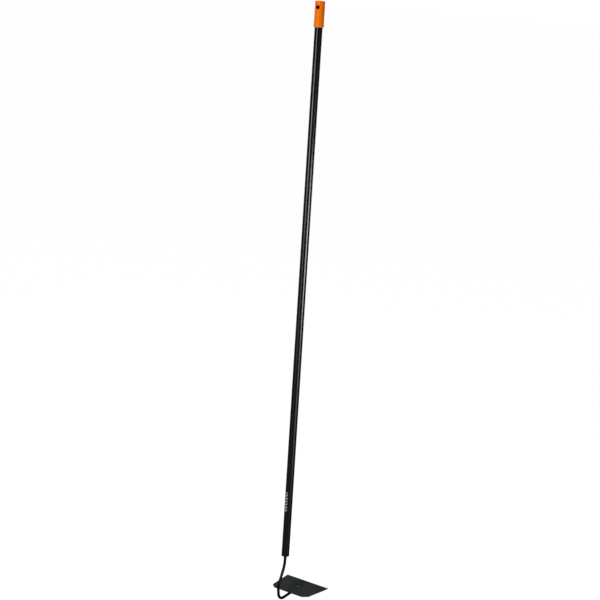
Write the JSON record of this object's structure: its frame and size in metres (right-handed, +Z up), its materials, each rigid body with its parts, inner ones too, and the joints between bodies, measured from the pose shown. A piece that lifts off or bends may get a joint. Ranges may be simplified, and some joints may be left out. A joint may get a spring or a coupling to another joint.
{
  "type": "grub hoe",
  "caption": "Long-handled draw hoe: round black shaft with an orange cap to hang it by, a bent rod neck and a flat wide blade with cut-off back corners.",
  "frame": {"origin": "middle of the hanging hole, on the axis of the shaft", "axes": "+Z up along the shaft to the cap; +X towards the user, the side that the blade's cutting edge points to; +Y along the blade's width"},
  "size_m": [0.1348, 0.1558, 1.7022],
  "materials": {
    "shaft_coat": "satin black powder coat on aluminium tube",
    "cap_plastic": "orange moulded plastic, satin",
    "bush_plastic": "black moulded plastic",
    "rivet_steel": "dull zinc-plated steel",
    "neck_paint": "black enamel on steel rod",
    "blade_paint": "dark grey-black baked coating on sheet steel"
  },
  "bodies": {
    "root": {"shaft_tube": "shaft_coat", "end_cap": "cap_plastic", "neck_bush": "bush_plastic", "tang_bush": "bush_plastic", "neck_rivet": "rivet_steel", "neck_rod": "neck_paint", "blade": "blade_paint", "blade_rivet": "rivet_steel", "neck_welds": "neck_paint"}
  },
  "joints": []
}
